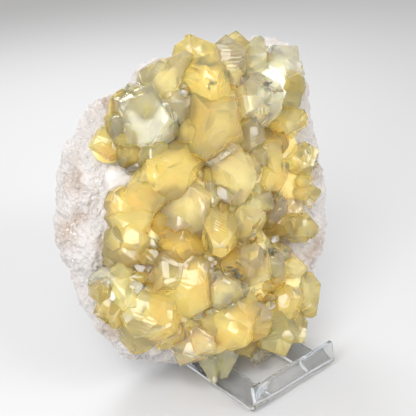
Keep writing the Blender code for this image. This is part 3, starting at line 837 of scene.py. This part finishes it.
def roughened(tree, shader, reliefs):
    """Bumps on a shader, one over another: each a noise scale in 1/m, its detail, and height in metres."""
    place = tree.nodes.new("ShaderNodeTexCoord").outputs["Object"]
    normal = None
    for scale, detail, height in reliefs:
        relief = tree.nodes.new("ShaderNodeTexNoise")
        relief.inputs["Scale"].default_value = scale
        relief.inputs["Detail"].default_value = detail
        tree.links.new(place, relief.inputs["Vector"])
        bump = tree.nodes.new("ShaderNodeBump")
        bump.inputs["Distance"].default_value = height
        tree.links.new(relief.outputs["Fac"], bump.inputs["Height"])
        if normal:
            tree.links.new(normal, bump.inputs["Normal"])
        normal = bump.outputs["Normal"]
    tree.links.new(normal, shader.inputs["Normal"])


def faceted(tree, shader):
    """Breaks the faces into a mosaic of low facets: each cell of a Voronoi pattern slopes its own way."""
    place = tree.nodes.new("ShaderNodeTexCoord").outputs["Object"]
    cells = tree.nodes.new("ShaderNodeTexVoronoi")
    cells.inputs["Scale"].default_value = 1 / FACET_SIZE
    inward = tree.nodes.new("ShaderNodeVectorMath")
    inward.operation = "SUBTRACT"
    slope = tree.nodes.new("ShaderNodeVectorMath")
    slope.operation = "SUBTRACT"
    slope.inputs[1].default_value = (0.5, 0.5, 0.5)
    height = tree.nodes.new("ShaderNodeVectorMath")
    height.operation = "DOT_PRODUCT"
    bump = tree.nodes.new("ShaderNodeBump")
    bump.inputs["Distance"].default_value = FACET_SLOPE
    before = shader.inputs["Normal"].links[0].from_socket
    tree.links.new(place, cells.inputs["Vector"])
    tree.links.new(place, inward.inputs[0])
    tree.links.new(cells.outputs["Position"], inward.inputs[1])
    tree.links.new(cells.outputs["Color"], slope.inputs[0])
    tree.links.new(inward.outputs["Vector"], height.inputs[0])
    tree.links.new(slope.outputs["Vector"], height.inputs[1])
    tree.links.new(height.outputs["Value"], bump.inputs["Height"])
    tree.links.new(before, bump.inputs["Normal"])
    tree.links.new(bump.outputs["Normal"], shader.inputs["Normal"])


def striated(tree, shader):
    """Fine growth lines across the crystals' length, in patches, over the bumps that the shader has."""
    grain = tree.nodes.new("ShaderNodeUVMap")
    grain.uv_map = "grain"
    lines = tree.nodes.new("ShaderNodeTexWave")
    lines.wave_type = "BANDS"
    lines.bands_direction = "Y"
    lines.inputs["Scale"].default_value = LINE_SCALE
    lines.inputs["Distortion"].default_value = 0.8
    lines.inputs["Detail"].default_value = 0.0
    patches = tree.nodes.new("ShaderNodeTexNoise")
    patches.inputs["Scale"].default_value = LINE_PATCHES
    patches.inputs["Detail"].default_value = 1.0
    clear_cut = tree.nodes.new("ShaderNodeMapRange")
    clear_cut.inputs["From Min"].default_value = 0.5
    clear_cut.inputs["From Max"].default_value = 0.62
    bump = tree.nodes.new("ShaderNodeBump")
    bump.inputs["Distance"].default_value = LINE_HEIGHT
    before = shader.inputs["Normal"].links[0].from_socket
    place = tree.nodes.new("ShaderNodeTexCoord").outputs["Object"]
    tree.links.new(grain.outputs["UV"], lines.inputs["Vector"])
    tree.links.new(place, patches.inputs["Vector"])
    tree.links.new(patches.outputs["Fac"], clear_cut.inputs["Value"])
    tree.links.new(clear_cut.outputs["Result"], bump.inputs["Strength"])
    tree.links.new(lines.outputs["Fac"], bump.inputs["Height"])
    tree.links.new(before, bump.inputs["Normal"])
    tree.links.new(bump.outputs["Normal"], shader.inputs["Normal"])


def mottled(tree, shader, scale, colours, detail=3):
    """A base colour that drifts between these colours in soft patches."""
    place = tree.nodes.new("ShaderNodeTexCoord").outputs["Object"]
    patches = tree.nodes.new("ShaderNodeTexNoise")
    patches.inputs["Scale"].default_value = scale
    patches.inputs["Detail"].default_value = detail
    ramp = tree.nodes.new("ShaderNodeValToRGB")
    while len(ramp.color_ramp.elements) < len(colours):
        ramp.color_ramp.elements.new(0.5)
    for k, (element, colour) in enumerate(zip(ramp.color_ramp.elements, colours)):
        element.position = 0.3 + 0.4 * k / (len(colours) - 1)
        element.color = (*colour, 1)
    tree.links.new(place, patches.inputs["Vector"])
    tree.links.new(patches.outputs["Fac"], ramp.inputs["Fac"])
    tree.links.new(ramp.outputs["Color"], shader.inputs["Base Color"])


def calcite_material(tone):
    facts = TONES[tone]
    made, tree, shader = principled(
        f"calcite_{tone}",
        Base_Color=(*facts["base"], 1),
        Roughness=CALCITE_ROUGHNESS,
        IOR=CALCITE_IOR,
        Transmission_Weight=facts["through"],
        Subsurface_Weight=1.0,
        Subsurface_Radius=GLOW_REACH,
        Subsurface_Scale=GLOW_SCALE,
    )
    absorb(tree, facts["absorbs"], facts["density"])
    roughened(tree, shader, CALCITE_RELIEF)
    faceted(tree, shader)
    striated(tree, shader)
    return made


def massive_material(tone):
    """The cloudy calcite under the crystals, in patches of its colours."""
    made, tree, shader = principled(
        f"calcite_{tone}",
        Roughness=0.4,
        Subsurface_Weight=1.0,
        Subsurface_Radius=GLOW_REACH,
        Subsurface_Scale=GLOW_SCALE,
    )
    mottled(tree, shader, 70, MASSIVE_COLOURS[tone])
    roughened(tree, shader, MASSIVE_RELIEF)
    return made


def make_veils():
    bm = bmesh.new()
    for tone, rows in CRYSTALS.items():
        for row in rows:
            for veil in veil_meshes(row, tone):
                bm.from_mesh(veil)
                bpy.data.meshes.remove(veil)
    veils = new_object("calcite_veils", mesh_from(bm, "calcite_veils"))
    made, _, _ = principled(
        "calcite_veils",
        Base_Color=(1.0, 0.97, 0.88, 1),
        Roughness=0.15,
        IOR=1.35,
        Transmission_Weight=0.72,
    )
    veils.data.materials.append(made)
    veils.data.shade_smooth()
    return veils


def make_moss():
    """The dark mossy specks that a few of the crystals grew round."""
    rng = np.random.default_rng(17)
    bm = bmesh.new()
    for across, up, out, spread, count in MOSS:
        for _ in range(count):
            aside = rng.normal(0, spread / 2, 2)
            place = on_plate(across + aside[0], up + aside[1], FRONT_LEVEL + out + rng.uniform(-2, 2))
            size = rng.uniform(*MOSS_LENGTH)
            shape = Matrix.Diagonal((size, size * rng.uniform(0.3, 0.7), size * MOSS_THINNESS, 1))
            turn = Quaternion(tuple(rng.normal(0, 1, 4))).normalized().to_matrix().to_4x4()
            speck_place = INTO_ROW @ Matrix.Translation(place) @ turn @ shape
            bmesh.ops.create_icosphere(bm, subdivisions=2, radius=1, matrix=speck_place)
    specks = new_object("mossy_specks", mesh_from(bm, "mossy_specks"))
    made, _, _ = principled("mossy_specks", Base_Color=(0.11, 0.11, 0.07, 1), Roughness=0.6)
    specks.data.materials.append(made)
    return specks


def toned_rows():
    """Every crystal's row, under its tone, the small ones among them."""
    groups = {tone: list(rows) for tone, rows in CRYSTALS.items()}
    for rows in groups.values():
        rows += [step for row in rows for step in stepped_rows(row)]
    groups["clear"] += chip_rows()
    for number, row in enumerate([*filler_rows(), *druse_rows()]):
        groups[FILLER_TONES[number % len(FILLER_TONES)]].append(row)
    return groups


def make_crystals():
    made = [make_veils(), make_moss()]
    groups = {tone: [crystal_mesh(row) for row in rows] for tone, rows in toned_rows().items()}
    for tone, rows in BEDS.items():
        groups[tone] = [bed_mesh(number, row) for number, row in enumerate(rows)]
    groups["massive"] += [bed_mesh(f"rim_{number}", row) for number, row in enumerate(RIM_BEDS)]
    for tone, meshes in groups.items():
        mesh = union_of(meshes, f"calcite_{tone}")
        mesh.materials.clear()
        mesh.materials.append(massive_material(tone) if tone in BEDS else calcite_material(tone))
        mesh.shade_smooth()
        mesh.set_sharp_from_angle(angle=math.radians(CALCITE_SHARPNESS))
        piece = new_object(f"calcite_{tone}", mesh)
        made.append(piece)
    return made


def heulandite_material():
    made, tree, shader = principled("heulandite", Roughness=0.6)
    mottled(tree, shader, STAIN_SCALE, HEULANDITE_COLOURS, detail=7)
    roughened(tree, shader, MATRIX_RELIEF)
    return made


def blade_mesh(rng, size):
    """A heulandite crystal: a thin coffin-shaped plate."""
    bm = bmesh.new()
    bmesh.ops.create_cube(bm, size=1)
    for vert in bm.verts:
        taper = BLADE_TAPER if vert.co.z > 0 else 1.0
        vert.co = Vector((
            vert.co.x * BLADE_THINNESS * rng.uniform(0.8, 1.3),
            vert.co.y * taper * rng.uniform(0.8, 1.1),
            vert.co.z * rng.uniform(1.1, 1.4),
        )) * size
    return bm


def make_blades(matrix):
    """The small heulandite crystals that crust the rock's front and rim."""
    rng = np.random.default_rng(11)
    mesh = matrix.data
    bm = bmesh.new()
    for index in rng.integers(0, len(mesh.vertices), BLADE_TRIES):
        spot = mesh.vertices[int(index)]
        if spot.normal.dot(PLATE_OUT) < BLADE_LIMIT:
            continue
        blade = blade_mesh(rng, rng.uniform(*BLADE_SIZE) * MM)
        lean = Vector(rng.normal(0, BLADE_DISORDER, 3))
        turn = (spot.normal + lean).to_track_quat("Z", "Y").to_matrix().to_4x4()
        spin = Matrix.Rotation(rng.uniform(0, math.pi), 4, "Z")
        sunk = spot.co - spot.normal * BLADE_SIZE[0] * MM
        blade.transform(Matrix.Translation(sunk) @ turn @ spin)
        piece = mesh_from(blade, "blade")
        bm.from_mesh(piece)
        bpy.data.meshes.remove(piece)
    for row in WHITE_BLOCKS:
        bm.from_mesh(block_mesh(row))
    blades = new_object("heulandite_blades", mesh_from(bm, "heulandite_blades"))
    made, _, _ = principled("heulandite_blades", Base_Color=(*BLADE_COLOUR, 1), Roughness=0.35)
    blades.data.materials.append(made)
    return blades


def block_mesh(row):
    """A smooth white mass of heulandite, its sides nearly flat and its edges round."""
    across, up, out, wide, high, thick = row
    bm = bmesh.new()
    bmesh.ops.create_icosphere(bm, subdivisions=5, radius=1)
    for vert in bm.verts:
        grown = sum(abs(c) ** BLOCK_SQUARENESS for c in vert.co) ** (-1 / BLOCK_SQUARENESS)
        vert.co = Vector((vert.co.x * wide, vert.co.y * high, vert.co.z * thick)) * grown
        vert.co *= 1 + BLOCK_RELIEF * noise.fractal(vert.co / 3, 0.8, 2.0, 3)
    axes = Matrix((PLATE_ACROSS, PLATE_UP, PLATE_OUT)).transposed().to_4x4()
    bm.transform(INTO_ROW @ Matrix.Translation(on_plate(across, up, FRONT_LEVEL + out)) @ axes)
    return mesh_from(bm, "white_block")


def make_matrix():
    mesh = matrix_mesh()
    mesh.materials.append(heulandite_material())
    piece = new_object("heulandite_plate", mesh)
    fewer = piece.modifiers.new("fewer_faces", "DECIMATE")
    fewer.ratio = MATRIX_SHARE
    return piece


def arc(centre, radius, turn_to, steps):
    """(y, z) points of a bend that starts forwards along the base and turns up, by turn_to degrees."""
    points = []
    for k in range(1, steps + 1):
        angle = math.radians(turn_to * k / steps)
        points.append((centre[0] - radius * math.sin(angle), centre[1] + radius * (1 - math.cos(angle))))
    return points


def bent_end(start, turn_to, rise):
    """(y, z) points of the sheet's middle from start, round its bend and straight on for rise mm."""
    points = arc(start, BEND_RADIUS, turn_to, BEND_STEPS)
    angle = math.radians(turn_to)
    points.append(tuple(Vector(points[-1]) + Vector((-math.cos(angle), math.sin(angle))) * rise))
    return points


def make_stand():
    """The easel: rails and rear bar flat, the lip and the back rest bent up from them."""
    half = STAND_WIDTH / 2
    inner = half - RAIL_WIDTH
    middle = SHEET / 2
    rest_root = STAND_DEPTH - REAR_BAR
    lip_turn = 90 + LIP_LEAN
    fold_y = BEND_RADIUS + middle
    fold_top = middle + BEND_RADIUS * (1 - math.cos(math.radians(lip_turn)))
    lip_straight = (LIP_TOP - fold_top) / math.cos(math.radians(LIP_LEAN))
    lip = bent_end((fold_y, middle), lip_turn, lip_straight)
    rest = bent_end((rest_root, middle), 90 + REST_LEAN, REST_LENGTH)
    frame_line = [(STAND_DEPTH, middle), (rest_root, middle), (fold_y, middle), *lip]
    columns = [-half, -inner, -(inner - KERF), inner - KERF, inner, half]

    bm = bmesh.new()

    def row_of(y, z, stations):
        return {x: bm.verts.new((x, y, z)) for x in stations}

    rows = [row_of(y, z, columns) for y, z in frame_line]
    for step, (near, far) in enumerate(zip(rows, rows[1:])):
        for left, right in zip(columns, columns[1:]):
            in_opening = step == 1 and -inner <= left and right <= inner
            if not in_opening:
                bm.faces.new((near[left], near[right], far[right], far[left]))
    tongue = columns[2:4]
    upright = [rows[1]] + [row_of(y, z, tongue) for y, z in rest]
    for near, far in zip(upright, upright[1:]):
        bm.faces.new((near[tongue[0]], near[tongue[1]], far[tongue[1]], far[tongue[0]]))
    bmesh.ops.recalc_face_normals(bm, faces=bm.faces)
    if sum(face.normal.z for face in bm.faces) < 0:
        bmesh.ops.reverse_faces(bm, faces=bm.faces)
    bm.transform(INTO_ROW)
    flat = new_object("easel_sheet", mesh_from(bm, "easel_sheet"))
    thick = flat.modifiers.new("sheet", "SOLIDIFY")
    thick.thickness = SHEET * MM
    thick.offset = 0
    thick.use_even_offset = True
    soft = flat.modifiers.new("polished_edges", "BEVEL")
    soft.width = SHEET_EDGE * MM
    soft.segments = 2
    soft.limit_method = "ANGLE"
    soft.angle_limit = math.radians(45)
    mesh = evaluated_mesh(flat, "acrylic_easel")
    bpy.data.objects.remove(flat)
    mesh.shade_smooth()
    mesh.set_sharp_from_angle(angle=math.radians(SHEET_SHARPNESS))
    made, tree, _ = principled(
        "clear_acrylic",
        Base_Color=(0.97, 0.985, 1.0, 1),
        Roughness=0.02,
        IOR=1.49,
        Transmission_Weight=1.0,
    )
    absorb(tree, (0.80, 0.90, 1.0), 6)
    mesh.materials.append(made)
    piece = new_object("acrylic_easel", mesh)
    return piece


def make_camera():
    data = bpy.data.cameras.new("photo_view")
    data.sensor_width = SENSOR
    data.lens = LENS
    data.clip_start = 0.01
    made = new_object("photo_view", data)
    turn = Matrix((RIGHT, UP, -FORWARD)).transposed().to_4x4()
    made.matrix_world = Matrix.Translation(in_row_frame(VIEWPOINT)) @ turn
    bpy.context.scene.camera = made


def soft_box(name, place, size, power):
    data = bpy.data.lights.new(name, "AREA")
    data.shape = "RECTANGLE"
    data.size, data.size_y = size
    data.energy = power
    made = new_object(name, data)
    made.location = place
    made.rotation_euler = (LIGHT_TARGET - Vector(place)).to_track_quat("-Z", "Y").to_euler()


def make_studio():
    """A pale floor, soft boxes above and to both sides, and an even surround."""
    bm = bmesh.new()
    bmesh.ops.create_grid(bm, x_segments=1, y_segments=1, size=FLOOR_SIZE)
    mesh = mesh_from(bm, "floor")
    floor_material, _, _ = principled("floor", Base_Color=(*FLOOR_COLOUR, 1), Roughness=0.6)
    mesh.materials.append(floor_material)
    floor = new_object("floor", mesh)
    world = bpy.data.worlds.new("surround")
    world.use_nodes = True
    surround = world.node_tree.nodes["Background"]
    surround.inputs["Color"].default_value = (*SURROUND_COLOUR, 1)
    surround.inputs["Strength"].default_value = SURROUND_STRENGTH
    bpy.context.scene.world = world
    for name, (place, size, power) in SOFT_BOXES.items():
        soft_box(name, place, size, power)


def main():
    make_camera()
    make_studio()
    matrix = make_matrix()
    blades = make_blades(matrix)
    crystals = make_crystals()
    stand = make_stand()
    for piece in (matrix, blades, *crystals, stand):
        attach(piece, "root")
    for piece in (matrix, blades):
        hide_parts("heulandite_matrix")
    for piece in crystals:
        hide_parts("calcite_crystals")
    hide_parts("acrylic_stand")
    bpy.context.scene.view_settings.view_transform = "Standard"
    settings = bpy.context.scene.cycles
    settings.max_bounces = 32
    settings.transmission_bounces = 24
    settings.glossy_bounces = 24
    settings.diffuse_bounces = 4


main()
